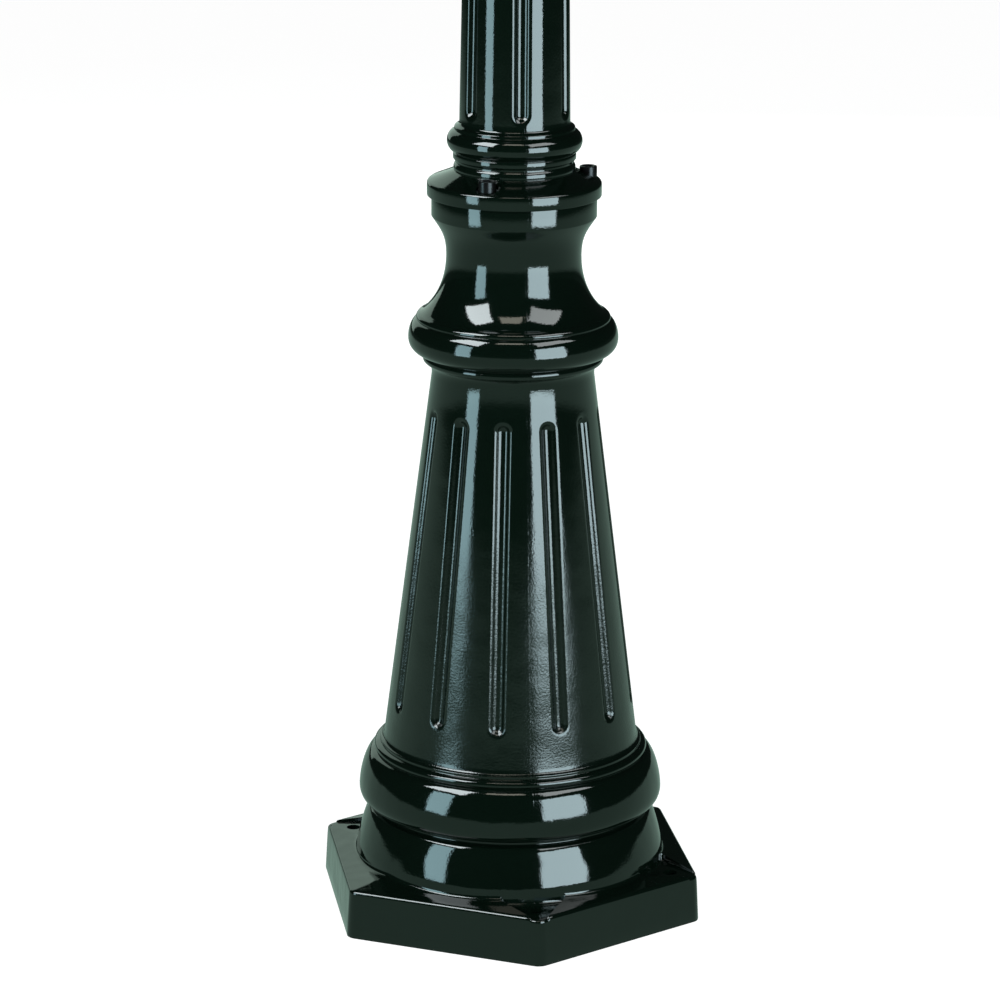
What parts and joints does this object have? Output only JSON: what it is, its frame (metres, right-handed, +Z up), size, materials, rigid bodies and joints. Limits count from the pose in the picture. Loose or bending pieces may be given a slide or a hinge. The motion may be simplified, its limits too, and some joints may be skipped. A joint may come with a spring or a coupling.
{
  "type": "street clock",
  "caption": "Double-faced street clock: a round drum case with hinged glazed bezels on a fluted cast post with a hexagonal foot.",
  "frame": {"origin": "centre of the foot plate's underside, on the ground", "axes": "+Z up along the post; -Y out of the front dial; +X to the right of someone who reads the front dial"},
  "size_m": [0.542, 0.329, 2.581],
  "materials": {
    "green_paint": "gloss",
    "black_steel": "satin",
    "zinc_steel": "satin",
    "brass": "satin",
    "hand_black": "satin",
    "opal_dial": "satin",
    "black_mark": "matte",
    "grey_plastic": "matte",
    "lamp_cover": "satin",
    "pane": "polished",
    "gasket_rubber": "matte"
  },
  "bodies": {
    "post": {"pedestal": "green_paint", "shaft": "green_paint", "flange_screws": "black_steel", "capital": "green_paint", "capital_set_screws": "black_steel", "saddle": "green_paint", "capital_bolts": "black_steel", "saddle_bolts": "zinc_steel", "case_drum": "green_paint", "front_dial_ring": "green_paint", "rear_dial_ring": "green_paint", "front_dial": "opal_dial", "rear_dial": "opal_dial", "front_hour_marks": "black_mark", "rear_hour_marks": "black_mark", "front_minute_track": "black_mark", "rear_minute_track": "black_mark", "dial_screws": "zinc_steel", "movement_bridge": "zinc_steel", "bridge_screws": "zinc_steel", "front_movement": "grey_plastic", "rear_movement": "grey_plastic", "movement_nuts": "brass", "light_bars": "lamp_cover", "power_supply": "zinc_steel", "front_hinge_pin": "zinc_steel", "rear_hinge_pin": "zinc_steel", "finial_base": "green_paint", "finial": "green_paint", "finial_nut": "zinc_steel"},
    "front_door": {"front_bezel": "green_paint", "front_glass": "pane", "front_gasket": "gasket_rubber", "front_glass_clips": "zinc_steel", "front_lock_screw": "zinc_steel"},
    "rear_door": {"rear_bezel": "green_paint", "rear_glass": "pane", "rear_gasket": "gasket_rubber", "rear_glass_clips": "zinc_steel", "rear_lock_screw": "zinc_steel"},
    "front_hour": {"front_hour_pipe": "brass", "front_hour_hand": "hand_black"},
    "front_minute": {"front_minute_arbor": "zinc_steel", "front_minute_hand": "hand_black", "front_cap_nut": "brass"},
    "rear_hour": {"rear_hour_pipe": "brass", "rear_hour_hand": "hand_black"},
    "rear_minute": {"rear_minute_arbor": "zinc_steel", "rear_minute_hand": "hand_black", "rear_cap_nut": "brass"}
  },
  "joints": [
    {"name": "front_door_hinge", "type": "hinge", "parent": "post", "child": "front_door", "pos_m": [-0.263, -0.07, 2.19], "axis": [0, 0, -1], "range_deg": [0, 110]},
    {"name": "rear_door_hinge", "type": "hinge", "parent": "post", "child": "rear_door", "pos_m": [0.263, 0.07, 2.19], "axis": [0, 0, -1], "range_deg": [0, 110]},
    {"name": "front_minute_turn", "type": "hinge", "parent": "post", "child": "front_minute", "pos_m": [0, -0.04, 2.19], "axis": [0, 1, 0], "continuous": true},
    {"name": "front_hour_turn", "type": "hinge", "parent": "post", "child": "front_hour", "pos_m": [0, -0.04, 2.19], "axis": [0, 1, 0], "continuous": true},
    {"name": "rear_minute_turn", "type": "hinge", "parent": "post", "child": "rear_minute", "pos_m": [0, 0.04, 2.19], "axis": [0, -1, 0], "continuous": true},
    {"name": "rear_hour_turn", "type": "hinge", "parent": "post", "child": "rear_hour", "pos_m": [0, 0.04, 2.19], "axis": [0, -1, 0], "continuous": true}
  ],
  "couplings": [
    {"joint": "front_hour_turn", "follows": "front_minute_turn", "ratio": 0.083333},
    {"joint": "rear_minute_turn", "follows": "front_minute_turn", "ratio": 1},
    {"joint": "rear_hour_turn", "follows": "front_minute_turn", "ratio": 0.083333}
  ]
}
